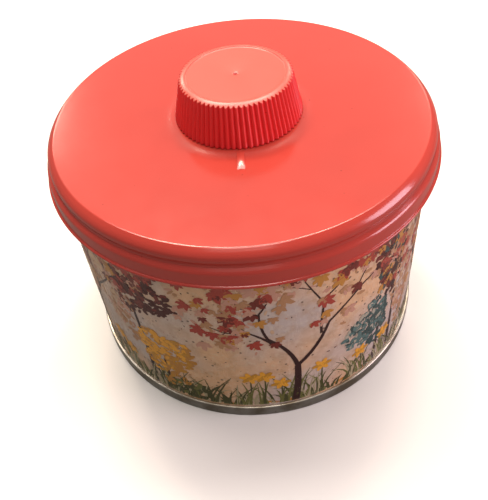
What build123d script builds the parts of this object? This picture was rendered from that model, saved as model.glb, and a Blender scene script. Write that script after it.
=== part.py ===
"""Round talcum powder tin: seamed tinplate drum, lift-off shaker lid and screw cap.

The tin is a rolled tinplate wall with a stamped base double-seamed to it. A moulded
lid drops over the curled mouth. Its neck holds a perforated sifter, and a ribbed
screw cap with a sealing liner closes the neck.

Millimetres, +Z up, origin at the centre of the foot ring.
"""

import os
from math import asin, cos, degrees, pi, radians, sin

from build123d import *

# ---- Driving dimensions -------------------------------------------------------
# Tin wall
tin_radius = 48.6          # outside of the rolled wall
tin_height = 66.05         # foot to the top of the curl
sheet = 0.22               # tinplate thickness
curl_radius = 1.0          # outside radius of the curled mouth
lock_seam_width = 4.5      # folded side seam, inside the wall
lock_seam_layers = 3       # extra thicknesses of sheet in the fold

# Double seam at the foot
seam_height = 4.0
seam_gap = 0.04            # clearance between the folded layers
cover_hook = 2.2           # length of the hook folded from the base
body_hook = 2.0            # length of the hook folded from the wall
compound_height = 0.25     # sealing compound in the bottom of the fold
foot_round = 0.33          # rounding of the folded edges
countersink = 3.4          # foot to the underside of the base panel
emboss_margin = 10.12      # chuck wall to the raised centre of the base panel
emboss_height = 0.6
emboss_slope = 1.2         # radial width of the step

# Powder
powder_depth = 38.0
powder_crown = 1.4         # rise of the heap at the middle
powder_gap = 0.3           # clearance to the side seam

# Lid
plate_thickness = 1.4
stop_gap = 0.05            # lid plate to the curl that it rests on
slide_gap = 0.3            # lid to the parts that it lifts off
lid_edge_round = 1.45      # rounding between plate and skirt
upper_skirt = 2.75         # plate top to the start of the shoulder
shoulder_drop = 1.25
shoulder_width = 0.65
lower_skirt = 4.6          # height of the wall under the shoulder
skirt_draft = 0.3          # outward draft of the lower skirt
lip_height = 0.8           # bead around the skirt's bottom edge
lip_width = 0.45
skirt_thickness = 1.1      # slides over the wall at the upper skirt
plug_depth = 1.5           # ring that centres the lid in the mouth
plug_thickness = 1.0
grip_rib_count = 24        # short ribs inside the skirt
grip_rib_width = 0.8
grip_rib_height = 3.2
grip_rib_root = 0.4        # how far a grip rib is rooted in the skirt
collar_height = 0.3        # raised ground that the cap stands over
collar_margin = 0.6        # flat of the collar outside the cap
collar_slope = 2.0
pointer_angle = -92.0      # degrees; raised mark in front of the cap
pointer_length = 4.6
pointer_width = 0.9
pointer_height = 0.4
pointer_draft = 12         # degrees

# Neck and screw thread
neck_height = 7.6
neck_bore = 9.4            # radius
neck_wall = 1.8
thread_depth = 1.0
thread_pitch = 2.5
thread_root = 1.0          # axial width of a thread at its root
thread_crest = 0.5
thread_sink = 0.25         # how far a thread is rooted in its wall
neck_thread_start = 2.0    # above the lid plate
neck_thread_turns = 1.5
cap_thread_turns = 1.2
thread_gap = 0.2           # crest to the wall that it passes

# Sifter
sifter_flange = 0.8
sifter_plug_depth = 4.5
sifter_wall = 0.9
sifter_fit = 0.02
sifter_hole = 0.9          # radius
sifter_margin = 1.2        # outer holes to the plug's wall
sifter_rings = [(0, 1), (1 / 2, 6), (1, 12)]   # share of the outer ring, and holes in it

# Screw cap
cap_flare = 2.4            # how much wider the foot is than the top
cap_foot_gap = 0.1         # cap to the collar under it
cap_rim_round = 0.9        # rounded edge above the ribs
cap_rim_width = 1.5        # rim around the recessed top
cap_recess = 0.45
cap_top_thickness = 1.3
cap_top_wall = 1.18        # around the liner, behind the ribs
cap_foot_wall = 1.4        # at the foot, behind the ribs
rib_count = 72
rib_depth = 0.42
gate_radius = 0.55         # moulding gate mark in the middle of the top
gate_depth = 0.15
liner_thickness = 0.9
liner_gap = 0.05
seal_gap = 0.1             # liner to the sifter that it closes
liner_inset = 0.35         # liner edge to the cap's bore
bead_depth = 0.5           # bead that holds the liner in the cap
bead_height = 0.5

# ---- Places that follow from them ---------------------------------------------
wall_inner = tin_radius - sheet
chuck_outer = wall_inner - seam_gap
chuck_inner = chuck_outer - sheet
cover_hook_inner = tin_radius + seam_gap
cover_hook_outer = cover_hook_inner + sheet
body_hook_inner = cover_hook_outer + seam_gap
body_hook_outer = body_hook_inner + sheet
seam_inner = body_hook_outer + seam_gap
seam_radius = seam_inner + sheet
body_bottom = sheet + compound_height
panel_top = countersink + emboss_height + sheet
curl_centre = (tin_radius - curl_radius, tin_height - curl_radius)

emboss_radius = chuck_inner - emboss_margin

lid_radius = tin_radius + slide_gap + skirt_thickness
plate_underside = tin_height + stop_gap
lid_top = plate_underside + plate_thickness
shoulder_bottom = lid_top - upper_skirt - shoulder_drop
lower_radius = lid_radius + shoulder_width
lip_top = shoulder_bottom - lower_skirt
skirt_bottom = lip_top - lip_height
skirt_inner_upper = lid_radius - skirt_thickness
skirt_inner_lower = lower_radius - skirt_thickness
grip_inner = tin_radius + slide_gap
plug_outer = tin_radius - 2 * curl_radius - slide_gap
plug_inner = plug_outer - plug_thickness

neck_radius = neck_bore + neck_wall
neck_top = lid_top + neck_height
thread_radius = neck_radius + thread_depth
cap_bore = thread_radius + thread_gap
cap_top_radius = cap_bore + cap_top_wall + rib_depth
cap_foot_radius = cap_top_radius + cap_flare
flange_top = neck_top + sifter_flange
liner_bottom = flange_top + seal_gap
liner_top = liner_bottom + liner_thickness
cap_ceiling = liner_top + liner_gap
cap_top = cap_ceiling + cap_top_thickness + cap_recess
cap_foot = lid_top + collar_height + cap_foot_gap
cap_thread_start = neck_thread_start + thread_pitch / 2
cap_thread_low = lid_top + cap_thread_start
cap_foot_bore = cap_foot_radius - rib_depth - cap_foot_wall
collar_radius = cap_foot_radius + collar_margin
sifter_ring = neck_bore - sifter_wall - sifter_margin - sifter_hole


def ring_sector(inner, outer, centre_angle, width):
    """Outline of a piece of a ring, centred on an angle, with a width along the ring."""
    half = width / outer / 2
    middle = radians(centre_angle)
    low, high = middle - half, middle + half
    corners = [(inner, low), (outer, low), (outer, high), (inner, high)]
    Polyline([(r * cos(a), r * sin(a)) for r, a in corners], close=True)


def helix_thread(start, turns, root_radius, direction):
    """One swept trapezoid thread; direction is 1 for outwards and -1 for inwards."""
    with BuildPart() as thread:
        with BuildLine() as path:
            Helix(thread_pitch, turns * thread_pitch, root_radius, center=(0, 0, start))
        with BuildSketch(Plane(origin=path.line @ 0, x_dir=(direction, 0, 0), z_dir=(0, 1, 0))):
            with BuildLine():
                Polyline(
                    (-thread_sink, -thread_root / 2),
                    (thread_depth, -thread_crest / 2),
                    (thread_depth, thread_crest / 2),
                    (-thread_sink, thread_root / 2),
                    close=True,
                )
            make_face()
        sweep(path=path.line, is_frenet=True)
    return thread.part


# ---- Tin wall: rolled sheet, curled mouth, hook at the foot --------------------
with BuildPart() as tin_wall:
    with BuildSketch(Plane.XZ):
        with BuildLine():
            outer_curl = CenterArc(curl_centre, curl_radius, 0, 270)
            inner_curl = CenterArc(curl_centre, curl_radius - sheet, 0, 270)
            Line(outer_curl @ 1, inner_curl @ 1)
            Polyline(
                inner_curl @ 0,
                (wall_inner, body_bottom),
                (body_hook_outer, body_bottom),
                (body_hook_outer, body_bottom + body_hook),
                (body_hook_inner, body_bottom + body_hook),
                (body_hook_inner, body_bottom + sheet),
                (tin_radius, body_bottom + sheet),
                outer_curl @ 0,
            )
        make_face()
    revolve(axis=Axis.Z)
    lock_inner = wall_inner - lock_seam_layers * sheet
    with BuildSketch(Plane.XY.offset(countersink + sheet + seam_gap)):
        with BuildLine():
            ring_sector(lock_inner, wall_inner + sheet / 2, 90, lock_seam_width)
        make_face()
    extrude(amount=tin_height - 2 * curl_radius - slide_gap - countersink - sheet - seam_gap)

# ---- Base: stamped panel, chuck wall and the seam folded around the wall's hook --
with BuildPart() as tin_base:
    with BuildSketch(Plane.XZ):
        with BuildLine():
            Polyline(
                (0, countersink + emboss_height),
                (emboss_radius, countersink + emboss_height),
                (emboss_radius + emboss_slope, countersink),
                (chuck_inner, countersink),
                (chuck_inner, 0),
                (seam_radius, 0),
                (seam_radius, seam_height),
                (cover_hook_inner, seam_height),
                (cover_hook_inner, seam_height - cover_hook),
                (cover_hook_outer, seam_height - cover_hook),
                (cover_hook_outer, seam_height - sheet),
                (seam_inner, seam_height - sheet),
                (seam_inner, sheet),
                (chuck_outer, sheet),
                (chuck_outer, countersink + sheet),
                (emboss_radius + emboss_slope, countersink + sheet),
                (emboss_radius, panel_top),
                (0, panel_top),
                close=True,
            )
        make_face()
    revolve(axis=Axis.Z)
    outer_rings = (
        tin_base.edges()
        .filter_by(GeomType.CIRCLE)
        .filter_by(lambda e: e.radius > chuck_inner - seam_gap / 2)
    )
    foot_edges = outer_rings.filter_by(lambda e: abs(e.center().Z) < seam_gap)
    shoulder_edges = outer_rings.filter_by(
        lambda e: abs(e.center().Z - seam_height) < seam_gap and e.radius > seam_inner
    )
    fillet(foot_edges + shoulder_edges, radius=foot_round)

# ---- Sealing compound in the bottom of the double seam --------------------------
with BuildPart() as seam_compound:
    with BuildSketch(Plane.XY.offset(sheet)):
        Circle(body_hook_outer - foot_round)
        Circle(wall_inner + seam_gap, mode=Mode.SUBTRACT)
    extrude(amount=compound_height)

# ---- Talcum powder ---------------------------------------------------------------
powder_radius = lock_inner - powder_gap
with BuildPart() as talcum_powder:
    with BuildSketch(Plane.XZ):
        with BuildLine():
            edge_top = panel_top + powder_depth
            crown_radius = (powder_radius**2 + powder_crown**2) / (2 * powder_crown)
            crown_angle = degrees(asin(powder_radius / crown_radius))
            crown = CenterArc(
                (0, edge_top + powder_crown - crown_radius),
                crown_radius,
                90 - crown_angle,
                crown_angle,
            )
            Polyline(crown @ 1, (0, panel_top), (powder_radius, panel_top), crown @ 0)
        make_face()
    revolve(axis=Axis.Z)

# ---- Lid ---------------------------------------------------------------------------
neck_thread = helix_thread(lid_top + neck_thread_start, neck_thread_turns, neck_radius, 1)
with BuildPart() as lid:
    with BuildSketch(Plane.XZ):
        with BuildLine():
            collar_top = lid_top + collar_height
            toe = collar_radius + collar_slope
            edge = lid_radius - lid_edge_round
            lip_radius = lower_radius + skirt_draft + lip_width
            Polyline(
                (neck_bore, plate_underside),
                (neck_bore, neck_top),
                (neck_radius, neck_top),
                (neck_radius, collar_top),
                (collar_radius, collar_top),
            )
            Spline(
                (collar_radius, collar_top),
                (toe, lid_top),
                tangents=((1, 0), (1, 0)),
            )
            Line((toe, lid_top), (edge, lid_top))
            CenterArc((edge, lid_top - lid_edge_round), lid_edge_round, 0, 90)
            Polyline(
                (lid_radius, lid_top - lid_edge_round),
                (lid_radius, lid_top - upper_skirt),
                (lower_radius, shoulder_bottom),
                (lower_radius + skirt_draft, lip_top),
            )
            ThreePointArc(
                (lower_radius + skirt_draft, lip_top),
                (lip_radius, lip_top - lip_height / 2),
                (lower_radius + skirt_draft, skirt_bottom),
            )
            Polyline(
                (lower_radius + skirt_draft, skirt_bottom),
                (skirt_inner_lower + skirt_draft, skirt_bottom),
                (skirt_inner_lower, shoulder_bottom),
                (skirt_inner_upper, lid_top - upper_skirt),
                (skirt_inner_upper, plate_underside),
                (plug_outer, plate_underside),
                (plug_outer, plate_underside - plug_depth),
                (plug_inner, plate_underside - plug_depth),
                (plug_inner, plate_underside),
                (neck_bore, plate_underside),
            )
        make_face()
    revolve(axis=Axis.Z)
    with BuildSketch(Plane.XY.offset(skirt_bottom + lip_height)):
        for number in range(grip_rib_count):
            with BuildLine():
                middle = 360 * (number + 0.5) / grip_rib_count
                ring_sector(grip_inner, skirt_inner_lower + grip_rib_root, middle, grip_rib_width)
            make_face()
    extrude(amount=grip_rib_height)
    with BuildSketch(Plane.XY.offset(lid_top - pointer_height)):
        with BuildLine():
            pointer_start = toe - pointer_length / 4
            ring_sector(pointer_start, pointer_start + pointer_length, pointer_angle, pointer_width)
        make_face()
    extrude(amount=2 * pointer_height, taper=pointer_draft)
    add(neck_thread)

# ---- Sifter: perforated plug pressed into the neck -----------------------------------
with BuildPart() as sifter:
    with BuildSketch(Plane.XZ):
        with BuildLine():
            plug_radius = neck_bore - sifter_fit
            Polyline(
                (0, neck_top),
                (plug_radius - sifter_wall, neck_top),
                (plug_radius - sifter_wall, neck_top - sifter_plug_depth),
                (plug_radius, neck_top - sifter_plug_depth),
                (plug_radius, neck_top),
                (neck_radius, neck_top),
                (neck_radius, flange_top),
                (0, flange_top),
                close=True,
            )
        make_face()
    revolve(axis=Axis.Z)
    with BuildSketch(Plane.XY.offset(flange_top)):
        for share, holes in sifter_rings:
            with PolarLocations(share * sifter_ring, holes):
                Circle(sifter_hole)
    extrude(amount=-sifter_flange, mode=Mode.SUBTRACT)

# ---- Liner: sealing disc inside the cap ------------------------------------------------
with BuildPart() as cap_liner:
    with BuildSketch(Plane.XY.offset(liner_bottom)):
        Circle(cap_bore - liner_inset)
    extrude(amount=liner_thickness)


def rib_outline(radius):
    """Closed outline of the ribbed skirt at one height, radius over the ribs."""
    step = 2 * pi / rib_count
    valley = radius * (1 - rib_depth / cap_foot_radius)
    # share of a pitch and radius: two crest corners, two valley corners
    shape = [(-0.18, radius), (0.18, radius), (0.42, valley), (0.58, valley)]
    points = []
    for number in range(rib_count):
        for share, r in shape:
            angle = (number + share) * step
            points.append((r * cos(angle), r * sin(angle)))
    Polyline(points, close=True)


# ---- Screw cap -----------------------------------------------------------------------------
cap_thread = helix_thread(cap_thread_low, cap_thread_turns, cap_bore, -1)
with BuildPart() as screw_cap:
    for height, radius in ((cap_foot, cap_foot_radius), (cap_top, cap_top_radius)):
        with BuildSketch(Plane.XY.offset(height)):
            with BuildLine():
                rib_outline(radius)
            make_face()
    loft(ruled=True)
    # the rounded rim cuts the tops of the ribs
    with BuildSketch(Plane.XZ):
        with BuildLine():
            Polyline(
                (cap_top_radius - cap_rim_round, cap_top),
                (cap_top_radius + cap_rim_round, cap_top),
                (cap_top_radius + cap_rim_round, cap_top - cap_rim_round * 2),
                close=True,
            )
        make_face()
    revolve(axis=Axis.Z, mode=Mode.SUBTRACT)
    with BuildSketch(Plane.XY.offset(cap_top)):
        Circle(cap_top_radius - cap_rim_width)
    extrude(amount=-cap_recess, mode=Mode.SUBTRACT)
    with BuildSketch(Plane.XY.offset(cap_top - cap_recess)):
        Circle(gate_radius)
    extrude(amount=-gate_depth, mode=Mode.SUBTRACT)
    # bore, with the bead that holds the liner and a flared foot
    with BuildSketch(Plane.XZ):
        with BuildLine():
            bead_top = liner_bottom - liner_gap
            Polyline(
                (0, cap_foot),
                (cap_foot_bore, cap_foot),
                (cap_bore, cap_thread_low - thread_root),
                (cap_bore, bead_top - bead_height),
                (cap_bore - bead_depth, bead_top - bead_height / 2),
                (cap_bore, bead_top),
                (cap_bore, cap_ceiling),
                (0, cap_ceiling),
                close=True,
            )
        make_face()
    revolve(axis=Axis.Z, mode=Mode.SUBTRACT)
    add(cap_thread)

# ---- Export ---------------------------------------------------------------------------------
pieces = {
    "tin_wall": tin_wall,
    "tin_base": tin_base,
    "seam_compound": seam_compound,
    "talcum_powder": talcum_powder,
    "lid": lid,
    "sifter": sifter,
    "screw_cap": screw_cap,
    "cap_liner": cap_liner,
}
os.makedirs("parts", exist_ok=True)
for name, piece in pieces.items():
    piece.part.label = name
    export_step(piece.part, f"parts/{name}.step")
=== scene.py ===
"""Looks of a round talcum powder tin: glossy moulded shaker lid, printed tinplate wall, seamed foot.

Metres, +Z up. The axis of the tin is the world Z axis and its front faces -Y.
"""

import math
import random

import bmesh
import bpy
from mathutils import Matrix, Vector, noise


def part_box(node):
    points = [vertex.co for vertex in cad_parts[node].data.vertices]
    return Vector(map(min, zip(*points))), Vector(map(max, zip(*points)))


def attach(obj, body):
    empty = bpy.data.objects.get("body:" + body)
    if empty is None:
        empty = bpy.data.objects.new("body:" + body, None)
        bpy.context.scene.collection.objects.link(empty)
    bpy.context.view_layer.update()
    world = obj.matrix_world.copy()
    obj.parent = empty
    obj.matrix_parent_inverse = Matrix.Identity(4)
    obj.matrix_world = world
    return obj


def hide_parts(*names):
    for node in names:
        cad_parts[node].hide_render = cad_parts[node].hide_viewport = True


bl_info = {
    "name": "Talcum powder tin",
    "version": (1, 0, 0),
    "blender": (4, 5, 0),
    "location": "3D View > Sidebar > Powder tin",
    "description": "Builds the lid, cap, printed wall, foot and contents of a round powder tin",
    "category": "Object",
}

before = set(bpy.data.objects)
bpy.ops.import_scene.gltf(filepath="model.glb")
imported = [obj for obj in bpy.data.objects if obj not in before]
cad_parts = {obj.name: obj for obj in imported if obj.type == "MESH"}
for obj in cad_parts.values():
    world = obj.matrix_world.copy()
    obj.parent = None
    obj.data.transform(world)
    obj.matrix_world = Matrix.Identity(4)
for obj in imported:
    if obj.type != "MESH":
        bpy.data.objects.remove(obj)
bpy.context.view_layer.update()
MM = 0.001
FRONT = -math.pi / 2

# Heights and radii that the construction fixes
WALL_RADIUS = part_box("talcum_powder")[1].x + 0.96 * MM + 0.22 * MM
WALL_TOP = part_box("tin_wall")[1].z
SEAM_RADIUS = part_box("tin_base")[1].x
LIP_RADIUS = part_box("lid")[1].x
SKIRT_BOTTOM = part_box("lid")[0].z
NECK_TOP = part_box("lid")[1].z
NECK_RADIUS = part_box("sifter")[1].x
CAP_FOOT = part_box("screw_cap")[0].z
CAP_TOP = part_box("screw_cap")[1].z
CAP_FOOT_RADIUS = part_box("screw_cap")[1].x
LINER_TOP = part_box("cap_liner")[1].z


# ---- Settings ---------------------------------------------------------------------


def length(title, text, value):
    """A size in metres, shown as a length."""
    return bpy.props.FloatProperty(
        name=title, description=text, default=value, unit="LENGTH", precision=5
    )


def tint(title, text, code):
    """A colour given as an sRGB hex value."""
    return bpy.props.FloatVectorProperty(
        name=title,
        description=text,
        default=linear(code),
        size=4,
        min=0,
        max=1,
        subtype="COLOR",
    )


def linear(code):
    """Linear RGBA from an sRGB hex value such as 'C9282B'."""
    parts = [int(code[i : i + 2], 16) / 255 for i in (0, 2, 4)]
    return tuple(c / 12.92 if c <= 0.04045 else ((c + 0.055) / 1.055) ** 2.4 for c in parts) + (1,)


class LidSettings(bpy.types.PropertyGroup):
    plate: length("Plate thickness", "Top of the lid to its underside", 1.4 * MM)
    stop_gap: length("Stop gap", "Plate to the curled mouth", 0.05 * MM)
    edge_round: length("Edge rounding", "Rounding between plate and skirt", 1.45 * MM)
    radius: length("Upper skirt radius", "Outside of the upper skirt", 50.0 * MM)
    upper_skirt: length("Upper skirt", "Plate to the start of the shoulder", 2.75 * MM)
    shoulder_drop: length("Shoulder drop", "Height of the sloping shoulder", 1.25 * MM)
    shoulder_width: length("Shoulder width", "How far the shoulder steps out", 0.65 * MM)
    groove: length("Groove", "How far the upper skirt draws in above the shoulder", 0.75 * MM)
    draft: length("Draft", "Outward lean of the lower skirt", 0.3 * MM)
    lip_height: length("Lip height", "Bead around the bottom edge", 0.8 * MM)
    wall: length("Skirt thickness", "Moulded wall of the skirt", 1.1 * MM)
    ring_depth: length("Ring depth", "Centring ring under the plate", 1.5 * MM)
    ring_radius: length("Ring radius", "Outside of the centring ring", 46.3 * MM)
    neck_height: length("Neck height", "Neck above the plate", 7.6 * MM)
    bore: length("Bore radius", "Bore of the neck", 9.4 * MM)
    collar_radius: length("Collar radius", "Raised ground under the cap", 17.0 * MM)
    collar_height: length("Collar height", "Height of the raised ground", 0.3 * MM)
    collar_slope: length("Collar slope", "Width of the slope around the collar", 2.0 * MM)
    colour: tint("Plastic", "Colour of the moulded lid", "BD4035")


class CapSettings(bpy.types.PropertyGroup):
    ribs: bpy.props.IntProperty(name="Ribs", description="Grip ribs around the cap", default=72)
    rib_depth: length("Rib depth", "Depth of the grooves between ribs", 0.58 * MM)
    top_radius: length("Top radius", "Over the ribs at the top", 14.0 * MM)
    rim_slope: length("Rim slope", "Width of the sloping edge that cuts the ribs", 1.5 * MM)
    rim_drop: length("Rim drop", "How far the sloping edge falls", 0.6 * MM)
    rim_width: length("Rim width", "Flat between the slope and the sunk top", 0.15 * MM)
    recess: length("Recess", "Depth of the sunk top", 0.2 * MM)
    colour: tint("Plastic", "Colour of the moulded cap", "EE3638")
    # Paler top colour: handling wear plus painted light, given to the cap's up-facing faces near the top.
    rubbed: tint("Worn and lit top", "Colour of the handled top of the cap, paler for painted light on its up-facing faces", "D25A4C")


class TinSettings(bpy.types.PropertyGroup):
    sheet: length("Sheet", "Thickness of the tinplate", 0.22 * MM)
    curl: length("Curl radius", "Outside radius of the curled mouth", 1.0 * MM)
    seam_height: length("Seam height", "Height of the folded foot seam", 4.0 * MM)
    ground: tint("Ground", "Printed ground colour", "E8BA90")
    shade: tint("Ground shade", "Second colour of the printed ground", "CBBAB2")


class PrintSettings(bpy.types.PropertyGroup):
    bark: tint("Bark ink", "Trunks, branches and shadows", "3A1A16")
    leaf: tint("Leaf ink", "Turning leaves on the trees", "AE4232")
    tan: tint("Tan ink", "Dry leaves and far foliage", "BC8A62")
    ochre: tint("Ochre ink", "Brighter leaves", "C88A3A")
    grass: tint("Grass ink", "Grass and stems", "76743C")
    petal: tint("Petal ink", "Petals and blossom", "F2AC34")
    evergreen: tint("Evergreen ink", "Cool shrub leaves", "5A7672")
    tuft_gap: length("Tuft spacing", "Between grass tufts, along the wall", 4.4 * MM)
    seed: bpy.props.IntProperty(name="Seed", description="Start of every seeded draw", default=7)


class StageSettings(bpy.types.PropertyGroup):
    distance: length("Camera distance", "From the axis, along the floor", 138.22 * MM)
    height: length("Camera height", "Above the floor", 163.76 * MM)
    pitch: bpy.props.FloatProperty(
        name="Pitch", description="Camera below level", default=math.radians(47.035), subtype="ANGLE"
    )
    yaw: bpy.props.FloatProperty(
        name="Yaw", description="Camera to the right", default=math.radians(-1.108), subtype="ANGLE"
    )
    roll: bpy.props.FloatProperty(
        name="Roll", description="Camera lean", default=math.radians(-6.347), subtype="ANGLE"
    )
    lens: bpy.props.FloatProperty(
        name="Lens", description="Focal length in millimetres", default=46.3, subtype="DISTANCE_CAMERA"
    )
    floor: tint("Floor", "Colour of the floor", "F4F2EF")


# ---- Nodes and materials -------------------------------------------------------------


def add_node(tree, kind, settings=None, inputs=None):
    """Add a node, set its properties, and set or link its inputs."""
    made = tree.nodes.new(kind)
    for name, value in (settings or {}).items():
        setattr(made, name, value)
    for name, value in (inputs or {}).items():
        if isinstance(value, bpy.types.NodeSocket):
            tree.links.new(value, made.inputs[name])
        else:
            made.inputs[name].default_value = value
    return made


def new_material(name):
    """An empty material with a Principled shader on its output."""
    material = bpy.data.materials.new(name)
    material.use_nodes = True
    tree = material.node_tree
    tree.nodes.clear()
    shader = add_node(tree, "ShaderNodeBsdfPrincipled")
    add_node(tree, "ShaderNodeOutputMaterial", inputs={"Surface": shader.outputs[0]})
    return material, tree, shader


def noise_of(tree, scale_mm, detail=3, stretch=(1, 1, 1), distortion=0.0):
    """Noise on object coordinates whose features are scale_mm across."""
    place = add_node(tree, "ShaderNodeTexCoord").outputs["Object"]
    mapping = add_node(
        tree, "ShaderNodeMapping", inputs={"Vector": place, "Scale": Vector(stretch)}
    )
    return add_node(
        tree,
        "ShaderNodeTexNoise",
        inputs={
            "Vector": mapping.outputs[0],
            "Scale": 1 / (scale_mm * MM),
            "Detail": detail,
            "Distortion": distortion,
        },
    ).outputs["Fac"]


def remap(tree, value, low, high, to_low, to_high):
    """Map a value from one range to another, clamped."""
    return add_node(
        tree,
        "ShaderNodeMapRange",
        inputs={"Value": value, 1: low, 2: high, 3: to_low, 4: to_high},
    ).outputs[0]


def mix(tree, factor, first, second, blend="MIX"):
    """Mix two colours."""
    made = add_node(tree, "ShaderNodeMix", {"data_type": "RGBA", "blend_type": blend})
    for index, value in ((0, factor), (6, first), (7, second)):
        if isinstance(value, bpy.types.NodeSocket):
            tree.links.new(value, made.inputs[index])
        else:
            made.inputs[index].default_value = value
    return made.outputs[2]


def bump(tree, height, distance_mm, strength=1.0, under=None):
    """A bump of a real depth in millimetres, over another bump if there is one."""
    inputs = {"Height": height, "Distance": distance_mm * MM, "Strength": strength}
    if under:
        inputs["Normal"] = under
    return add_node(tree, "ShaderNodeBump", inputs=inputs).outputs[0]


def moulded_plastic(name, colour, gloss=0.17):
    """Injection-moulded polystyrene: glossy, with faint moulding ripple, rub marks and nicks."""
    material, tree, shader = new_material(name)
    deep = tuple(c * 0.9 for c in colour[:3]) + (1,)
    base = mix(tree, remap(tree, noise_of(tree, 30, 2), 0.35, 0.65, 0, 1), colour, deep)
    nicked = remap(tree, noise_of(tree, 1.1, 1), 0.8, 0.83, 0, 1)
    nick_colour = tuple(c * 0.5 for c in colour[:3]) + (1,)
    tree.links.new(mix(tree, nicked, base, nick_colour), shader.inputs["Base Color"])
    rub = noise_of(tree, 5, 3)
    tree.links.new(remap(tree, rub, 0.2, 0.8, gloss, gloss + 0.05), shader.inputs["Roughness"])
    ripple = bump(tree, noise_of(tree, 12, 1), 0.012)
    tree.links.new(ripple, shader.inputs["Normal"])
    shader.inputs["IOR"].default_value = 1.59
    return material


def bare_tinplate(name):
    """Bright tinplate as rolled: fine lines around the drum, a warm tarnish and dull spots."""
    material, tree, shader = new_material(name)
    bright, tarnish, rust = linear("D9D3C6"), linear("A79A84"), linear("6E4B2C")
    cloud = remap(tree, noise_of(tree, 7, 4), 0.42, 0.68, 0, 1)
    spots = remap(tree, noise_of(tree, 0.9, 3), 0.7, 0.76, 0, 0.8)
    colour = mix(tree, spots, mix(tree, cloud, bright, tarnish), rust)
    tree.links.new(colour, shader.inputs["Base Color"])
    lines = noise_of(tree, 0.4, 2, (0.08, 0.08, 1))
    tree.links.new(remap(tree, lines, 0.3, 0.7, 0.3, 0.5), shader.inputs["Roughness"])
    tree.links.new(bump(tree, lines, 0.004), shader.inputs["Normal"])
    shader.inputs["Metallic"].default_value = 1.0
    return material


def printed_tinplate(name, ground, shade):
    """Lithographed tinplate: a mottled cream ground with fine dark specks under clear varnish."""
    material, tree, shader = new_material(name)
    wash = remap(tree, noise_of(tree, 26, 3), 0.4, 0.62, 0, 1)
    base = mix(tree, wash, ground, shade)
    mottle = noise_of(tree, 3.2, 5)
    base = mix(tree, remap(tree, mottle, 0.45, 0.72, 0, 0.5), base, linear("B98F63"))
    base = mix(tree, remap(tree, noise_of(tree, 1.2, 3), 0.5, 0.75, 0, 0.35), base, linear("E9DCC6"))
    specks = add_node(
        tree,
        "ShaderNodeTexVoronoi",
        inputs={
            "Vector": add_node(tree, "ShaderNodeTexCoord").outputs["Object"],
            "Scale": 1 / (2.6 * MM),
        },
    )
    dots = remap(tree, specks.outputs["Distance"], 0.1, 0.16, 0.75, 0)
    base = mix(tree, dots, base, linear("4A3328"))
    tree.links.new(base, shader.inputs["Base Color"])
    scuff = noise_of(tree, 4, 6, (1, 1, 0.3), 0.5)
    tree.links.new(remap(tree, scuff, 0.4, 0.72, 0.24, 0.42), shader.inputs["Roughness"])
    tree.links.new(bump(tree, noise_of(tree, 6, 2), 0.03), shader.inputs["Normal"])
    shader.inputs["IOR"].default_value = 1.5
    return material


def printing_ink(name, colour):
    """One litho ink under the same varnish: a solid colour with the varnish's scuffs."""
    material, tree, shader = new_material(name)
    shader.inputs["Base Color"].default_value = colour
    scuff = noise_of(tree, 4, 6, (1, 1, 0.3), 0.5)
    tree.links.new(remap(tree, scuff, 0.4, 0.72, 0.26, 0.44), shader.inputs["Roughness"])
    tree.links.new(bump(tree, noise_of(tree, 6, 2), 0.03), shader.inputs["Normal"])
    shader.inputs["IOR"].default_value = 1.5
    return material


def loose_powder(name):
    """Loose talc: a soft matt white with clumps and hollows where it has settled."""
    material, tree, shader = new_material(name)
    clumps = noise_of(tree, 2.4, 5)
    base = mix(tree, remap(tree, clumps, 0.35, 0.65, 0, 1), linear("E6E2DA"), linear("F7F5F1"))
    tree.links.new(base, shader.inputs["Base Color"])
    tree.links.new(bump(tree, clumps, 0.25), shader.inputs["Normal"])
    shader.inputs["Roughness"].default_value = 0.95
    shader.inputs["Sheen Weight"].default_value = 0.25
    shader.inputs["Specular IOR Level"].default_value = 0.2
    return material


def milky_plastic(name):
    """Natural polyethylene: a waxy, slightly yellowed white that glows a little from inside."""
    material, tree, shader = new_material(name)
    cloud = remap(tree, noise_of(tree, 5, 3), 0.35, 0.65, 0, 1)
    tree.links.new(mix(tree, cloud, linear("E9E4D4"), linear("F2EEE2")), shader.inputs["Base Color"])
    scuff = noise_of(tree, 1.2, 4)
    tree.links.new(remap(tree, scuff, 0.3, 0.7, 0.38, 0.52), shader.inputs["Roughness"])
    tree.links.new(bump(tree, scuff, 0.01), shader.inputs["Normal"])
    shader.inputs["IOR"].default_value = 1.51
    shader.inputs["Subsurface Weight"].default_value = 0.15
    shader.inputs["Subsurface Scale"].default_value = 1.0 * MM
    return material


def waxed_board(name):
    """Waxed pulpboard: grey-cream fibres under a dull wax."""
    material, tree, shader = new_material(name)
    fibres = noise_of(tree, 0.6, 5, (1, 0.3, 1))
    base = mix(tree, remap(tree, fibres, 0.35, 0.65, 0, 1), linear("CFC3A8"), linear("B9A888"))
    tree.links.new(base, shader.inputs["Base Color"])
    tree.links.new(remap(tree, fibres, 0.3, 0.7, 0.45, 0.65), shader.inputs["Roughness"])
    tree.links.new(bump(tree, fibres, 0.03), shader.inputs["Normal"])
    return material


def seam_rubber(name):
    """Latex end-sealing compound, dried: dull grey-brown with a fine skin."""
    material, tree, shader = new_material(name)
    skin = noise_of(tree, 1.5, 4)
    base = mix(tree, remap(tree, skin, 0.35, 0.65, 0, 1), linear("7C7468"), linear("635C52"))
    tree.links.new(base, shader.inputs["Base Color"])
    tree.links.new(bump(tree, skin, 0.02), shader.inputs["Normal"])
    shader.inputs["Roughness"].default_value = 0.7
    return material


# ---- Mesh helpers -----------------------------------------------------------------------


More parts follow.
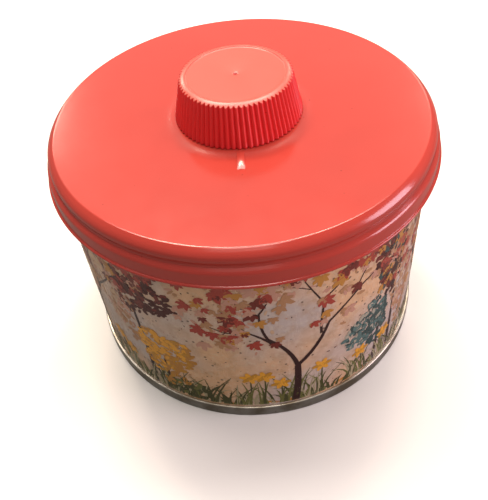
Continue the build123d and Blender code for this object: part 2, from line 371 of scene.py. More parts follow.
def finish_mesh(bm, name, materials, body, sharp_angle=32):
    """Turn a bmesh into a piece that rides on a body, smooth between its sharp edges."""
    for edge in bm.edges:
        if len(edge.link_faces) == 2 and edge.calc_face_angle(0) > math.radians(sharp_angle):
            edge.smooth = False
    for face in bm.faces:
        face.smooth = True
    mesh = bpy.data.meshes.new(name)
    bm.to_mesh(mesh)
    bm.free()
    for material in materials:
        mesh.materials.append(material)
    piece = bpy.data.objects.new(name, mesh)
    bpy.context.scene.collection.objects.link(piece)
    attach(piece, body)
    return piece


def guarded(outline, closed):
    """Add a point just outside each rounding, so that flats stay flat when shaded smooth."""
    points = []
    count = len(outline)
    for i, (r, z, rounding) in enumerate(outline):
        here = Vector((r, z))
        ends = []
        for step in (-1, 1):
            j = i + step
            if not closed and not 0 <= j < count:
                ends.append(None)
                continue
            other = Vector(outline[j % count][:2])
            reach = rounding * 1.25
            room = (other - here).length - outline[j % count][2] * 1.25
            fits = rounding > 0 and room > reach * 1.05
            ends.append(here + (other - here).normalized() * reach if fits else None)
        if ends[0] is not None:
            points.append((ends[0].x, ends[0].y, 0))
        points.append((r, z, rounding))
        if ends[1] is not None:
            points.append((ends[1].x, ends[1].y, 0))
    return points


def lathe(outline, steps=288, closed=True, segments=5):
    """Spin an outline of (radius, height, rounding) about the axis into a closed shell."""
    bm = bmesh.new()
    points = guarded(outline, closed)
    verts = [bm.verts.new((r, 0, z)) for r, z, _ in points]
    for first, second in zip(verts, verts[1:] + (verts[:1] if closed else [])):
        bm.edges.new((first, second))
    for vert, (_, _, rounding) in zip(verts, points):
        if rounding:
            bmesh.ops.bevel(
                bm,
                geom=[vert],
                offset=rounding,
                offset_type="OFFSET",
                segments=segments,
                profile=0.5,
                affect="VERTICES",
                material=-1,
            )
    bmesh.ops.spin(
        bm,
        geom=bm.verts[:] + bm.edges[:],
        axis=(0, 0, 1),
        cent=(0, 0, 0),
        angle=2 * math.pi,
        steps=steps,
        use_merge=True,
    )
    bmesh.ops.remove_doubles(bm, verts=bm.verts[:], dist=1e-6)
    bmesh.ops.recalc_face_normals(bm, faces=bm.faces[:])
    return bm


def join_into(bm, other):
    """Add another bmesh's shells to this one."""
    mesh = bpy.data.meshes.new("part")
    other.to_mesh(mesh)
    other.free()
    bm.from_mesh(mesh)
    bpy.data.meshes.remove(mesh)


def block(size, at, angle, rounding):
    """A bevelled block at a radius and angle round the axis; at is (radius, height)."""
    bm = bmesh.new()
    bmesh.ops.create_cube(bm, size=1)
    bmesh.ops.scale(bm, vec=size, verts=bm.verts[:])
    bmesh.ops.bevel(
        bm,
        geom=bm.edges[:],
        offset=rounding,
        offset_type="OFFSET",
        segments=3,
        profile=0.5,
        affect="EDGES",
        material=-1,
    )
    place = Matrix.Rotation(angle, 4, "Z") @ Matrix.Translation((at[0], 0, at[1]))
    bmesh.ops.transform(bm, matrix=place, verts=bm.verts[:])
    return bm


def screw_thread(radius, start, turns, pitch, depth, root=1.0 * MM, crest=0.5 * MM, steps=150):
    """A trapezoid thread wound round the axis; a negative depth points inwards."""
    sink = math.copysign(0.25 * MM, depth)
    bm = bmesh.new()
    corners = (
        (radius - sink, -root / 2),
        (radius + depth, -crest / 2),
        (radius + depth, crest / 2),
        (radius - sink, root / 2),
    )
    profile = bm.faces.new([bm.verts.new((r, 0, start + z)) for r, z in corners])
    bmesh.ops.spin(
        bm,
        geom=[profile],
        axis=(0, 0, 1),
        cent=(0, 0, 0),
        dvec=(0, 0, pitch * turns / steps),
        angle=2 * math.pi * turns,
        steps=steps,
        use_duplicate=False,
    )
    bmesh.ops.recalc_face_normals(bm, faces=bm.faces[:])
    return bm


def pointer(radius, top, angle):
    """The moulded mark in front of the cap: a wedge that runs out to nothing, with a crowned back."""
    near, far, half = -2.7 * MM, 2.7 * MM, 0.95 * MM
    corners = [
        (end, side * half, height * MM)
        for end, heights in ((near, (-0.1, 0.74)), (far, (-0.1, -0.04)))
        for side in (-1, 1)
        for height in heights
    ]
    crown = [(near, 0, 0.86 * MM), (far, 0, 0.08 * MM)]
    bm = bmesh.new()
    for corner in corners + crown:
        bm.verts.new(corner)
    bmesh.ops.convex_hull(bm, input=bm.verts[:])
    bmesh.ops.dissolve_limit(bm, angle_limit=math.radians(1), verts=bm.verts[:], edges=bm.edges[:])
    bmesh.ops.bevel(
        bm,
        geom=[e for e in bm.edges if max(v.co.z for v in e.verts) > 0],
        offset=0.05 * MM,
        offset_type="OFFSET",
        segments=2,
        profile=0.5,
        affect="EDGES",
        material=-1,
    )
    place = Matrix.Rotation(angle, 4, "Z") @ Matrix.Translation((radius, 0, top))
    bmesh.ops.transform(bm, matrix=place, verts=bm.verts[:])
    return bm


# ---- Lid -----------------------------------------------------------------------------------


class TIN_OT_lid(bpy.types.Operator):
    """Mould the lid: plate, stepped skirt, lip, centring ring, neck and thread"""

    bl_idname = "tin.lid"
    bl_label = "Lid"

    def execute(self, context):
        s = context.scene.tin_lid
        under = WALL_TOP + s.stop_gap
        top = under + s.plate
        shoulder = top - s.upper_skirt - s.shoulder_drop
        lower = s.radius + s.shoulder_width
        ledge = shoulder - 0.1 * s.shoulder_drop
        ledge_foot = shoulder - 1.0 * s.shoulder_drop
        lip_top = SKIRT_BOTTOM + s.lip_height
        toe = s.collar_radius + s.collar_slope
        ring_inner = s.ring_radius - 1.0 * MM
        outline = [
            (s.bore, under, 0.2 * MM),
            (s.bore, NECK_TOP, 0.15 * MM),
            (NECK_RADIUS, NECK_TOP, 0.25 * MM),
            (NECK_RADIUS, top + s.collar_height, 0.4 * MM),
            (s.collar_radius, top + s.collar_height, 0.5 * MM),
            (toe, top, 0.8 * MM),
            (toe + 5 * MM, top, 0),
            (s.radius * 0.72, top, 0),
            (s.radius - 5 * MM, top, 0),
            (s.radius - 1.5 * s.edge_round, top, 0.25 * MM),
            (s.radius - 0.7 * s.edge_round, top - 0.65 * s.edge_round, 0.6 * MM),
            (s.radius - 0.08 * s.edge_round, top - 1.6 * s.edge_round, 0.9 * MM),
            (s.radius - s.groove, ledge, 0.35 * MM),
            (lower - 0.02 * MM, ledge_foot, 0.5 * MM),
            (lower + s.draft, lip_top, 0.15 * MM),
            (LIP_RADIUS, lip_top - 0.12 * MM, 0.28 * MM),
            (LIP_RADIUS, SKIRT_BOTTOM, 0.3 * MM),
            (lower + s.draft - s.wall, SKIRT_BOTTOM, 0.2 * MM),
            (lower - s.wall, shoulder, 0.3 * MM),
            (s.radius - s.wall, top - s.upper_skirt, 0.3 * MM),
            (s.radius - s.wall, under, 0.2 * MM),
            (s.ring_radius, under, 0.2 * MM),
            (s.ring_radius, under - s.ring_depth, 0.25 * MM),
            (ring_inner, under - s.ring_depth, 0.25 * MM),
            (ring_inner, under, 0.25 * MM),
        ]
        bm = lathe(outline, steps=320)
        join_into(bm, screw_thread(NECK_RADIUS, top + 2.0 * MM, 1.5, 2.5 * MM, 1.0 * MM))
        grips = 24
        grip_size = (1.2 * MM, 0.8 * MM, 3.2 * MM)
        for number in range(grips):
            angle = 2 * math.pi * (number + 0.5) / grips
            at = (lower - s.wall - 0.1 * MM, SKIRT_BOTTOM + s.lip_height + grip_size[2] / 2)
            join_into(bm, block(grip_size, at, angle, 0.15 * MM))
        join_into(bm, pointer(toe + 1.4 * MM, top, math.radians(-92)))
        plastic = moulded_plastic("moulded polystyrene lid", tuple(s.colour), 0.15)
        piece = finish_mesh(bm, "moulded_lid", [plastic], "lid")
        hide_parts("lid")
        return {"FINISHED"}


# ---- Screw cap -------------------------------------------------------------------------------


class TIN_OT_cap(bpy.types.Operator):
    """Mould the ribbed screw cap with its sunk top, gate mark and inner thread"""

    bl_idname = "tin.cap"
    bl_label = "Screw cap"

    def execute(self, context):
        s = context.scene.tin_cap
        per_rib = 10
        count = s.ribs * per_rib
        bore = NECK_RADIUS + 1.2 * MM
        ceiling = LINER_TOP + 0.05 * MM
        foot_bore = CAP_FOOT_RADIUS - s.rib_depth - 1.3 * MM
        slope_low = CAP_TOP - s.rim_drop
        flat = s.top_radius - s.rim_slope

        def ribbed(angle, height, inset=0.0):
            """Radius of the ribbed skirt, cut by the sloping rim."""
            share = (height - CAP_FOOT) / (CAP_TOP - CAP_FOOT)
            crest = CAP_FOOT_RADIUS + (s.top_radius - CAP_FOOT_RADIUS) * share
            phase = angle * s.ribs / (2 * math.pi) % 1.0
            across = abs(2 * phase - 1)
            radius = crest - s.rib_depth * across**1.6 - inset
            if height > slope_low:
                fall = (CAP_TOP - height) / s.rim_drop
                radius = min(radius, flat + (s.rim_slope + 0.1 * MM) * fall**0.6)
            return radius

        def plain(radius):
            return lambda angle, height: radius

        floor = CAP_TOP - s.recess
        sunk = flat - s.rim_width
        rings = [
            (plain(foot_bore), CAP_FOOT + 0.1 * MM),
            (plain(foot_bore + 0.12 * MM), CAP_FOOT),
            (lambda a, h: ribbed(a, h, 0.14 * MM), CAP_FOOT),
            (ribbed, CAP_FOOT + 0.14 * MM),
            (ribbed, CAP_FOOT + 0.5 * MM),
            (ribbed, (CAP_FOOT + CAP_TOP) / 2),
            (ribbed, slope_low - 0.3 * MM),
        ]
        slope_rings = 14
        for step in range(slope_rings):
            rings.append((ribbed, slope_low + s.rim_drop * (1 - (1 - step / slope_rings) ** 1.6)))
        rings += [
            (plain(flat), CAP_TOP),
            (plain(sunk + 0.08 * MM), CAP_TOP),
            (plain(sunk + 0.02 * MM), CAP_TOP - 0.03 * MM),
            (plain(sunk), CAP_TOP - 0.1 * MM),
            (plain(sunk - 0.06 * MM), floor + 0.12 * MM),
            (plain(sunk - 0.2 * MM), floor),
            (plain(sunk - 0.6 * MM), floor),
            (plain(6 * MM), floor),
            (plain(0.8 * MM), floor),
            (plain(0.68 * MM), floor - 0.03 * MM),
            (plain(0.56 * MM), floor - 0.12 * MM),
            (plain(0.26 * MM), floor - 0.14 * MM),
            (plain(0.2 * MM), floor - 0.02 * MM),
            (plain(0.1 * MM), floor + 0.01 * MM),
        ]
        bm = bmesh.new()
        made = bmesh.ops.create_circle(bm, segments=count, radius=1)
        edges = list({e for v in made["verts"] for e in v.link_edges})
        verts = made["verts"]
        for number, (radius, height) in enumerate(rings):
            if number:
                grown = bmesh.ops.extrude_edge_only(bm, edges=edges)["geom"]
                verts = [g for g in grown if isinstance(g, bmesh.types.BMVert)]
                edges = [g for g in grown if isinstance(g, bmesh.types.BMEdge)]
                ring = set(verts)
                edges = [e for e in edges if e.verts[0] in ring and e.verts[1] in ring]
            for vert in verts:
                angle = math.atan2(vert.co.y, vert.co.x)
                r = radius(angle, height)
                vert.co = (r * math.cos(angle), r * math.sin(angle), height)
        bmesh.ops.pointmerge(bm, verts=verts, merge_co=(0, 0, rings[-1][1]))
        lowest = [
            e for e in bm.edges if len(e.link_faces) == 1 and e.verts[0].co.z < CAP_FOOT + 0.2 * MM
        ]
        inner = [
            (bore, CAP_FOOT + 2.6 * MM),
            (bore, LINER_TOP - 1.5 * MM),
            (bore - 0.5 * MM, LINER_TOP - 1.25 * MM),
            (bore, LINER_TOP - 1.0 * MM),
            (bore, ceiling - 0.3 * MM),
            (bore - 0.3 * MM, ceiling),
        ]
        edges = lowest
        for radius, height in inner:
            grown = bmesh.ops.extrude_edge_only(bm, edges=edges)["geom"]
            verts = [g for g in grown if isinstance(g, bmesh.types.BMVert)]
            ring = set(verts)
            edges = [
                g
                for g in grown
                if isinstance(g, bmesh.types.BMEdge) and g.verts[0] in ring and g.verts[1] in ring
            ]
            for vert in verts:
                angle = math.atan2(vert.co.y, vert.co.x)
                vert.co = (radius * math.cos(angle), radius * math.sin(angle), height)
        grown = bmesh.ops.extrude_edge_only(bm, edges=edges)["geom"]
        verts = [g for g in grown if isinstance(g, bmesh.types.BMVert)]
        bmesh.ops.pointmerge(bm, verts=verts, merge_co=(0, 0, ceiling))
        bmesh.ops.remove_doubles(bm, verts=bm.verts[:], dist=1e-7)
        bmesh.ops.recalc_face_normals(bm, faces=bm.faces[:])
        lid_top = NECK_TOP - context.scene.tin_lid.neck_height
        join_into(bm, screw_thread(bore, lid_top + 3.25 * MM, 1.2, 2.5 * MM, -1.0 * MM))
        # Up-facing faces near the top take the paler second colour, which is handling wear plus painted
        # light where the overhead lamps fall; the centre takes the gate scar.
        for face in bm.faces:
            middle = face.calc_center_median()
            reach = math.hypot(middle.x, middle.y)
            if middle.z > floor - 0.5 * MM and face.normal.z > 0.6:
                face.material_index = 1
            if middle.z > floor - 0.5 * MM and reach < 0.6 * MM:
                face.material_index = 2
        colour = tuple(s.colour)
        plastic = moulded_plastic("moulded polystyrene cap", colour)
        rubbed = moulded_plastic("rubbed polystyrene cap top", tuple(s.rubbed), 0.3)
        scar = moulded_plastic("polystyrene gate scar", toned(colour, 0.45), 0.5)
        piece = finish_mesh(bm, "ribbed_cap", [plastic, rubbed, scar], "cap", 44)
        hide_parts("screw_cap")
        return {"FINISHED"}


# ---- Tin: wall, foot and contents --------------------------------------------------------------


class TIN_OT_wall(bpy.types.Operator):
    """Roll the tinplate wall with its curled mouth and folded side seam"""

    bl_idname = "tin.wall"
    bl_label = "Tin wall"

    def execute(self, context):
        s = context.scene.tin_body
        inner = WALL_RADIUS - s.sheet
        centre = (WALL_RADIUS - s.curl, WALL_TOP - s.curl)
        outline = [(WALL_RADIUS, 0.6 * MM, 0)]
        turns = 18
        for radius, steps in ((s.curl, range(turns + 1)), (s.curl - s.sheet, range(turns, -1, -1))):
            for step in steps:
                angle = math.radians(270) * step / turns
                point = (centre[0] + radius * math.cos(angle), centre[1] + radius * math.sin(angle))
                outline.append((*point, 0))
        outline.append((inner, 0.6 * MM, 0))
        bm = lathe(outline, steps=320)
        middle = WALL_RADIUS - s.sheet / 2
        for face in bm.faces:
            centre_point = face.calc_center_median()
            low_enough = centre_point.z < WALL_TOP - s.curl * 0.9
            outside = math.hypot(centre_point.x, centre_point.y) > middle and low_enough
            face.material_index = 0 if outside else 1
        seam_low = 3.9 * MM
        seam_high = WALL_TOP - 2 * s.curl - 0.3 * MM
        fold = block(
            (3.2 * s.sheet, 4.5 * MM, seam_high - seam_low),
            (inner - 1.4 * s.sheet, (seam_low + seam_high) / 2),
            math.pi / 2,
            0.15 * MM,
        )
        for face in fold.faces:
            face.material_index = 1
        join_into(bm, fold)
        prints = printed_tinplate("lithographed tinplate", tuple(s.ground), tuple(s.shade))
        bare = bare_tinplate("rolled tinplate inside")
        piece = finish_mesh(bm, "printed_wall", [prints, bare], "tin")
        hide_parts("tin_wall")
        return {"FINISHED"}


# ---- Print -------------------------------------------------------------------------------------

# Every shape of the print is laid out flat, x along the wall from its front and y up, and then
# wrapped onto the wall. Later layers stand a few hundredths of a millimetre higher.
INKS = (
    "bark", "bark_dark", "leaf", "leaf_dark", "leaf_pale", "tan", "tan_pale", "ochre", "grass",
    "grass_dark", "grass_pale", "petal", "petal_deep", "evergreen", "evergreen_dark",
    "evergreen_pale", "leaf_shade",
)
LIFT = {"haze": 0.025 * MM, "ground": 0.04 * MM, "wood": 0.055 * MM, "leaf": 0.07 * MM, "flower": 0.09 * MM}
INK_FILM = 0.012 * MM
TREE_LEAVES = ("leaf", "leaf", "leaf_dark", "ochre", "leaf_pale", "tan")


def toned(colour, factor):
    """A darker (below 1) or paler (above 1) ink of the same hue."""
    if factor <= 1:
        return tuple(c * factor for c in colour[:3]) + (1,)
    warm_white = linear("F6DDBE")
    return tuple(c + (w - c) * (factor - 1) for c, w in zip(colour[:3], warm_white)) + (1,)


class Sheet:
    """The flat printed sheet: shapes gather in small clusters, which keeps each bmesh call quick."""

    def __init__(self, seed):
        self.whole = bmesh.new()
        self.cluster = bmesh.new()
        self.rng = random.Random(seed)

    def close_cluster(self):
        join_into(self.whole, self.cluster)
        self.cluster = bmesh.new()

    def dab(self, at, size, angle, layer, ink, sides=6):
        """One flat oval touch of ink."""
        made = bmesh.ops.create_circle(self.cluster, cap_ends=True, segments=sides, radius=0.5)
        lift = LIFT[layer] + self.rng.uniform(0, 0.012) * MM
        place = Matrix.Translation((at[0], at[1], lift)) @ Matrix.Rotation(angle, 4, "Z")
        place = place @ Matrix.Diagonal((size[0], size[1], 1, 1))
        bmesh.ops.transform(self.cluster, matrix=place, verts=made["verts"])
        made["verts"][0].link_faces[0].material_index = INKS.index(ink)

    def stroke(self, start, bend, end, widths, layer, ink, steps=6):
        """A tapered brush stroke along a curve; widths are those at its start and end."""
        made = bmesh.ops.create_grid(self.cluster, x_segments=steps, y_segments=1, size=1)
        lift = LIFT[layer] + self.rng.uniform(0, 0.01) * MM
        faces = set()
        for vert in made["verts"]:
            t, side = (vert.co.x + 1) / 2, vert.co.y
            point = start.lerp(bend, t).lerp(bend.lerp(end, t), t)
            ahead = (bend - start).lerp(end - bend, t).normalized()
            width = widths[0] + (widths[1] - widths[0]) * t
            point += Vector((-ahead.y, ahead.x)) * side * width / 2
            vert.co = (point.x, point.y, lift)
            faces.update(vert.link_faces)
        for face in faces:
            face.material_index = INKS.index(ink)

    def leaf(self, at, size, angle, inks):
        """A lobed leaf: three or five pointed dabs fanned from its stalk."""
        lobes = self.rng.choice((3, 5))
        ink = self.rng.choice(inks)
        for lobe in range(lobes):
            turn = angle + (lobe - (lobes - 1) / 2) * math.radians(42)
            reach = size * (1 - 0.2 * abs(lobe - (lobes - 1) / 2))
            middle = at + Vector((math.cos(turn), math.sin(turn))) * reach * 0.45
            self.dab(middle, (reach, reach * 0.42), turn, "leaf", ink, 5)

    def branch(self, start, heading, reach, width, level, tips):
        """A branch that forks until it is a twig; tips collects where its leaves go."""
        rng = self.rng
        ahead = Vector((math.cos(heading), math.sin(heading)))
        end = start + ahead * reach
        bend = start.lerp(end, 0.5) + Vector((-ahead.y, ahead.x)) * reach * rng.uniform(-0.16, 0.16)
        self.stroke(start, bend, end, (width, width * 0.62), "wood", "bark")
        tips.append((end, level))
        if level == 0:
            return
        for side in (-1, 1):
            root = start.lerp(end, rng.uniform(0.6, 1.0)) if side > 0 else end
            turn = side * math.radians(rng.uniform(16, 38))
            self.branch(root, heading + turn, reach * rng.uniform(0.62, 0.82), width * 0.6, level - 1, tips)

    def tree(self, foot, headings, reach, width):
        """A slender tree: trunk, limbs, a haze of far leaves and lobed leaves at its twigs."""
        rng = self.rng
        fork = foot + Vector((rng.uniform(-1, 1) * MM, reach))
        bend = foot.lerp(fork, 0.5) + Vector((0.7 * MM, 0))
        self.stroke(foot, bend, fork, (width * 1.25, width), "wood", "bark")
        tips = []
        for heading in headings:
            limb = reach * rng.uniform(0.85, 1.05)
            self.branch(fork, math.radians(heading), limb, width * 0.75, 3, tips)
        self.close_cluster()
        for end, level in tips:
            for _ in range(5):
                spot = end + Vector((rng.gauss(0, 3.6), rng.gauss(0, 3.0))) * MM
                size = (rng.uniform(1.2, 3.2) * MM, rng.uniform(0.5, 1.4) * MM)
                turn = rng.uniform(0, math.pi)
                self.dab(spot, size, turn, "haze", rng.choice(("tan_pale", "tan", "leaf_pale")))
            for _ in range(4 if level else 5):
                spot = end + Vector((rng.gauss(0, 3.2), rng.gauss(0, 2.6))) * MM
                size = rng.uniform(2.2, 4.4) * MM
                self.leaf(spot, size, rng.uniform(-2.6, -0.5), TREE_LEAVES)
        self.close_cluster()

    def shrub(self, middle, spread, inks, count, size=2.4):
        """A rounded shrub of overlapping dabs, darkest below and palest at its upper left."""
        rng = self.rng
        lumps = rng.uniform(0, 2 * math.pi)
        for number in range(count):
            turn, out = rng.uniform(0, 2 * math.pi), math.sqrt(rng.random())
            out *= 0.9 + 0.2 * math.sin(3 * turn + lumps) + rng.uniform(0, 0.12)
            across, up = math.cos(turn) * out, math.sin(turn) * out
            spot = middle + Vector((across * spread[0], up * spread[1]))
            light = 0.5 + 0.35 * (up - across) + rng.gauss(0, 0.2)
            layer = "ground" if number < count * 0.6 else "leaf"
            shade = max(0, min(len(inks) - 1, int(light * len(inks))))
            ink = inks[0] if number < count * 0.45 else inks[shade]
            length_mm = size * rng.uniform(0.6, 1.25)
            self.dab(spot, (length_mm * MM, length_mm * 0.55 * MM), rng.uniform(0, math.pi), layer, ink)
            if number % 60 == 59:
                self.close_cluster()
        self.close_cluster()

    def flower(self, head, size):
        """A plain six-petalled flower on its stem, with two blades."""
        rng = self.rng
        foot = Vector((head.x + rng.uniform(-1, 1) * MM, PRINT_LOW))
        bend = foot.lerp(head, 0.5) + Vector((0.6 * MM, 0))
        self.stroke(foot, bend, head, (0.5 * MM, 0.35 * MM), "ground", "grass_dark")
        for side in (-1, 1):
            top = foot.lerp(head, rng.uniform(0.6, 0.95)) + Vector((side * rng.uniform(1, 2.4) * MM, 0))
            self.stroke(foot, foot.lerp(head, 0.5), top, (0.9 * MM, 0.12 * MM), "ground", "grass")
        tilt = rng.uniform(0, 1)
        for petal in range(6):
            turn = tilt + petal * math.pi / 3
            spot = head + Vector((math.cos(turn), math.sin(turn) * 0.85)) * size * 0.5
            self.dab(spot, (size, size * 0.5), turn, "flower", "petal" if petal % 3 else "petal_deep")
        self.dab(head, (size * 0.6, size * 0.5), 0, "flower", "petal_deep", 8)

    def tuft(self, foot, height):
        """A tuft of leaning grass blades."""
        rng = self.rng
        for _ in range(rng.randint(6, 11)):
            root = foot + Vector((rng.uniform(-2.5, 2.5) * MM, 0))
            lean = rng.uniform(-0.6, 0.6) * height
            top = root + Vector((lean, height * rng.uniform(0.55, 1.1)))
            bend = root + Vector((lean * 0.2, height * 0.55))
            ink = rng.choice(("grass", "grass_dark", "grass_dark", "grass_pale"))
            self.stroke(root, bend, top, (rng.uniform(0.6, 1.1) * MM, 0.12 * MM), "ground", ink, 4)


PRINT_LOW = 4.5 * MM
PRINT_HIGH = 62.8 * MM


class TIN_OT_print(bpy.types.Operator):
    """Print the garden around the wall: trees, shrubs, flowers and grass"""

    bl_idname = "tin.print"
    bl_label = "Printed garden"

    def execute(self, context):
        s = context.scene.tin_print
        sheet = Sheet(s.seed)
        rng = sheet.rng
        round_wall = 2 * math.pi * WALL_RADIUS
        copper = ("leaf_shade", "leaf_shade", "leaf_dark", "leaf_dark", "leaf")
        gold = ("ochre", "petal_deep", "petal", "petal", "petal")
        blue = ("evergreen_dark", "evergreen_dark", "evergreen", "evergreen", "evergreen_pale")
        dusk = ("leaf_shade", "bark", "evergreen_dark", "leaf_dark")
        olive = ("grass_dark", "grass_dark", "grass", "ochre")
        beds = [
            ((-31, 46), (9.5, 9), copper, 240),
            ((-39, 33), (5, 11), ("tan", "leaf_pale", "tan_pale"), 90),
            ((-27, 23), (8.5, 10), gold, 260),
            ((-22, 9), (8, 4), olive, 90),
            ((38, 45), (6.5, 12), dusk, 230),
            ((31, 24), (7.5, 10), blue, 230),
            ((45, 26), (5.5, 13), ("tan", "leaf_pale", "tan_pale"), 110),
            ((82, 22), (11, 14), blue, 320),
            ((118, 20), (9, 10), gold, 230),
            ((122, 45), (9, 9), copper, 200),
            ((-76, 19), (12, 11), gold, 300),
            ((-112, 24), (11, 15), blue, 320),
            ((-138, 45), (9, 9), copper, 200),
            ((-136, 20), (10, 11), olive, 220),
        ]
        for middle, spread, inks, count in beds:
            sheet.shrub(Vector(middle) * MM, Vector(spread) * MM, inks, count)
        trees = [
            (8, (118, 60), 17),
            (58, (108, 70), 15),
            (100, (112, 64), 17),
            (140, (120, 76), 15),
            (-56, (110, 66), 17),
            (-95, (118, 74), 16),
        ]
        stems = [(-33, 40), (-29, 20), (40, 36), (33, 20), (124, 38), (-140, 38), (86, 20), (-110, 20)]
        for stem, top in stems:
            foot = Vector((stem * MM, PRINT_LOW))
            head = Vector(((stem + rng.uniform(-2, 2)) * MM, top * MM))
            bend = foot.lerp(head, 0.5) + Vector((1 * MM, 0))
            sheet.stroke(foot, bend, head, (1.6 * MM, 0.8 * MM), "haze", "bark")
        sheet.close_cluster()
        for number in range(900):
            spot = Vector((rng.uniform(-0.5, 0.5) * round_wall, rng.uniform(PRINT_LOW, PRINT_HIGH)))
            size = (rng.uniform(0.35, 0.9) * MM, rng.uniform(0.2, 0.4) * MM)
            turn = rng.uniform(0, math.pi)
            ink = rng.choice(("tan", "leaf_dark", "bark", "leaf_pale"))
            sheet.dab(spot, size, turn, "haze", ink, 4)
            if number % 60 == 59:
                sheet.close_cluster()
        for foot, headings, reach in trees:
            sheet.tree(Vector((foot * MM, PRINT_LOW)), headings, reach * MM, 1.7 * MM)
        place = 0.0
        while place < round_wall:
            foot = Vector((place - round_wall / 2, PRINT_LOW))
            for _ in range(3):
                spot = foot + Vector((rng.uniform(-3, 3), rng.uniform(0, 1.6))) * MM
                turn = rng.uniform(-0.2, 0.2)
                ink = rng.choice(("tan", "grass_dark", "ochre"))
                sheet.dab(spot, (3 * MM, 1.2 * MM), turn, "haze", ink)
            sheet.tuft(foot, rng.uniform(5, 14) * MM)
            if rng.random() < 0.34:
                sheet.flower(foot + Vector((0, rng.uniform(9, 14) * MM)), 3.0 * MM)
            place += s.tuft_gap * rng.uniform(0.8, 1.2)
            sheet.close_cluster()
        bm = sheet.whole
        outside = [v for v in bm.verts if not PRINT_LOW - 0.4 * MM < v.co.y < PRINT_HIGH]
        bmesh.ops.delete(bm, geom=outside, context="VERTS")
        bmesh.ops.recalc_face_normals(bm, faces=bm.faces[:])
        for face in bm.faces:
            if face.normal.z < 0:
                face.normal_flip()
        bmesh.ops.solidify(bm, geom=bm.faces[:], thickness=INK_FILM)
        for vert in bm.verts:
            angle = FRONT + vert.co.x / WALL_RADIUS
            radius = WALL_RADIUS + vert.co.z
            vert.co = (radius * math.cos(angle), radius * math.sin(angle), vert.co.y)
        bmesh.ops.recalc_face_normals(bm, faces=bm.faces[:])
        variants = {"": 1, "_shade": 0.2, "_dark": 0.45, "_deep": 0.7, "_pale": 1.4}
        materials = []
        for ink in INKS:
            stem, mark, tail = ink.partition("_")
            colour = toned(tuple(getattr(s, stem)), variants[mark + tail])
            materials.append(printing_ink("litho ink " + ink.replace("_", " "), colour))
        finish_mesh(bm, "printed_garden", materials, "tin")
        return {"FINISHED"}


class TIN_OT_foot(bpy.types.Operator):
    """Stamp the base panel and fold the double seam around the foot"""

    bl_idname = "tin.foot"
    bl_label = "Base and foot seam"

    def execute(self, context):
        s = context.scene.tin_body
        sink = 3.4 * MM
        raised = sink + 0.6 * MM
        chuck = WALL_RADIUS - 2 * s.sheet - 0.04 * MM
        hook = WALL_RADIUS + 0.04 * MM
        raised_radius = chuck - 10.12 * MM
        outline = [
            (0, raised, 0),
            (raised_radius, raised, 0.4 * MM),
            (raised_radius + 1.2 * MM, sink, 0.4 * MM),
            (chuck, sink, 0.7 * MM),
            (chuck, 0, 0.33 * MM),
            (SEAM_RADIUS, 0, 0.33 * MM),
            (SEAM_RADIUS, s.seam_height, 0.33 * MM),
            (hook, s.seam_height, 0.06 * MM),
            (hook, s.seam_height - 0.3 * MM, 0),
            (chuck + s.sheet, s.sheet * 2, 0),
            (chuck + s.sheet, sink + s.sheet, 0.5 * MM),
            (raised_radius + 1.2 * MM, sink + s.sheet, 0.4 * MM),
            (raised_radius, raised + s.sheet, 0.4 * MM),
            (0, raised + s.sheet, 0),
        ]
        bm = lathe(outline, steps=320, closed=False)
        piece = finish_mesh(bm, "foot_seam", [bare_tinplate("folded tinplate foot")], "tin")
        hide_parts("tin_base")
        return {"FINISHED"}


class TIN_OT_contents(bpy.types.Operator):
    """Fill the tin with settled powder and finish the sifter, liner and seam compound"""

    bl_idname = "tin.contents"
    bl_label = "Contents and small parts"

    def execute(self, context):
        low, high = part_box("talcum_powder")
        radius = high.x
        crown = 1.4 * MM
        rim = high.z - crown
        outline = [(0, low.z, 0), (radius, low.z, 0), (radius, rim, 0)]
        steps = 40
        for step in range(1, steps + 1):
            out = 1 - step / steps
            outline.append((radius * out, rim + 0.55 * crown * (1 - out**2), 0))
        bm = lathe(outline, steps=128, closed=False)
        for vert in bm.verts:
            reach = math.hypot(vert.co.x, vert.co.y)
            if vert.co.z > rim - 0.01 * MM and reach < radius * 0.995:
                waves = noise.fractal(vert.co / (9 * MM), 0.8, 2.0, 5) * 0.35 * MM
                vert.co.z = min(max(vert.co.z + waves, rim - 0.6 * MM), high.z)
        powder = finish_mesh(bm, "settled_powder", [loose_powder("loose talc")], "tin", 60)
        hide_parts("talcum_powder")
        for node, material in (
            ("sifter", milky_plastic("moulded polyethylene sifter")),
            ("cap_liner", waxed_board("waxed board liner")),
            ("seam_compound", seam_rubber("sealing compound")),
        ):
            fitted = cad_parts[node].data.materials
            fitted.clear()
            fitted.append(material)
        return {"FINISHED"}


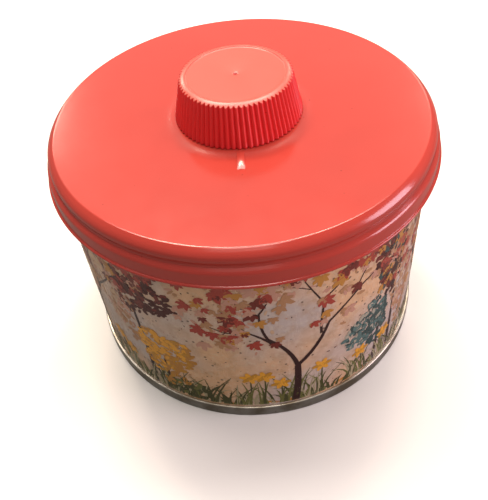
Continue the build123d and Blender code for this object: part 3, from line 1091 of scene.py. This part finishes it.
class TIN_OT_stage(bpy.types.Operator):
    """Set the pale floor, the studio lamps and the camera"""

    bl_idname = "tin.stage"
    bl_label = "Stage"

    def execute(self, context):
        scene = context.scene
        s = scene.tin_stage
        scene.view_settings.view_transform = "Standard"
        bm = bmesh.new()
        bmesh.ops.create_grid(bm, x_segments=1, y_segments=1, size=3)
        mesh = bpy.data.meshes.new("floor")
        bm.to_mesh(mesh)
        bm.free()
        floor = bpy.data.objects.new("floor", mesh)
        scene.collection.objects.link(floor)
        floor.location.z = -0.02 * MM
        material, tree, shader = new_material("matt painted floor")
        # Painted shade: to bounced light the floor is about a third as bright as the camera sees it, and
        # under a fifth in reflections, so it throws less light and darker reflections onto the tin.
        path = add_node(tree, "ShaderNodeLightPath").outputs
        bounced, mirrored = (toned(tuple(s.floor), share) for share in (0.34, 0.18))
        unseen = mix(tree, path["Is Glossy Ray"], bounced, mirrored)
        tree.links.new(mix(tree, path["Is Camera Ray"], unseen, tuple(s.floor)), shader.inputs["Base Color"])
        shader.inputs["Roughness"].default_value = 0.7
        mesh.materials.append(material)
        world = bpy.data.worlds.new("studio")
        world.use_nodes = True
        sky = world.node_tree
        sky.nodes["Background"].inputs["Color"].default_value = linear("F7F5F3")
        seen = add_node(sky, "ShaderNodeLightPath").outputs["Is Camera Ray"]
        strength = remap(sky, seen, 0, 1, 0.2, 0.95)
        sky.links.new(strength, sky.nodes["Background"].inputs["Strength"])
        scene.world = world
        lamps = [
            ("back_softbox", 90, 38, 1.0, (1.8, 0.7), 2.2, "FFF0E6"),
            ("overhead", 90, 72, 0.8, (0.9, 0.24), 5.3, "FFF3EA"),
            ("top_fill", -90, 84, 0.85, (0.3, 0.3), 2.1, "FFF3EA"),
            ("front_fill", -98, 62, 0.9, (0.42, 0.3), 0.8, "FFF3EA"),
            ("back_left_lamp", 112, 60, 0.8, (0.2, 0.1), 2.9, "FFEBD2"),
            ("back_right_lamp", 66, 61, 0.8, (0.14, 0.08), 1.5, "FFEBD2"),
            ("left_glint", 117, 28, 0.8, (0.12, 0.1), 0.9, "FFF1DC"),
            ("right_glint", 62, 28, 0.8, (0.1, 0.08), 0.5, "FFF1DC"),
            ("window", -15, 13, 0.7, (0.34, 0.34), 3.0, "FBE2F0"),
        ]
        target = Vector((0, 0, 0.05))
        for name, azimuth, elevation, distance, size, power, code in lamps:
            light = bpy.data.lights.new(name, "AREA")
            light.shape = "RECTANGLE"
            light.size, light.size_y = size
            light.energy = power
            light.color = linear(code)[:3]
            lamp = bpy.data.objects.new(name, light)
            a, e = math.radians(azimuth), math.radians(elevation)
            direction = Vector((math.cos(e) * math.cos(a), math.cos(e) * math.sin(a), math.sin(e)))
            lamp.location = target + direction * distance
            lamp.rotation_euler = direction.to_track_quat("Z", "Y").to_euler()
            scene.collection.objects.link(lamp)
        forward = Vector(
            (math.sin(s.yaw) * math.cos(s.pitch), math.cos(s.yaw) * math.cos(s.pitch), -math.sin(s.pitch))
        )
        right = Vector((math.cos(s.yaw), -math.sin(s.yaw), 0))
        up = right.cross(forward)
        x_axis = math.cos(s.roll) * right + math.sin(s.roll) * up
        y_axis = -math.sin(s.roll) * right + math.cos(s.roll) * up
        turn = Matrix((x_axis, y_axis, -forward)).transposed().to_4x4()
        lens = bpy.data.cameras.new("camera")
        lens.sensor_width = 36
        lens.lens = s.lens
        lens.clip_start = 0.01
        camera = bpy.data.objects.new("camera", lens)
        camera.matrix_world = Matrix.Translation((0, -s.distance, s.height)) @ turn
        scene.collection.objects.link(camera)
        scene.camera = camera
        return {"FINISHED"}


class TIN_PT_panel(bpy.types.Panel):
    """Lists the steps that build the tin"""

    bl_idname = "TIN_PT_panel"
    bl_label = "Powder tin"
    bl_space_type = "VIEW_3D"
    bl_region_type = "UI"
    bl_category = "Powder tin"

    def draw(self, context):
        for operator in OPERATORS:
            self.layout.operator(operator.bl_idname)


OPERATORS = (TIN_OT_lid, TIN_OT_cap, TIN_OT_wall, TIN_OT_print, TIN_OT_foot, TIN_OT_contents, TIN_OT_stage)
GROUPS = {
    "tin_lid": LidSettings,
    "tin_cap": CapSettings,
    "tin_body": TinSettings,
    "tin_print": PrintSettings,
    "tin_stage": StageSettings,
}


def register():
    for item in (*GROUPS.values(), *OPERATORS, TIN_PT_panel):
        bpy.utils.register_class(item)
    for name, group in GROUPS.items():
        setattr(bpy.types.Scene, name, bpy.props.PointerProperty(type=group))


def unregister():
    for name in GROUPS:
        delattr(bpy.types.Scene, name)
    for item in (TIN_PT_panel, *OPERATORS[::-1], *GROUPS.values()):
        bpy.utils.unregister_class(item)


def main():
    register()
    for operator in OPERATORS:
        group, step = operator.bl_idname.split(".")
        getattr(getattr(bpy.ops, group), step)()


if __name__ == "__main__":
    main()
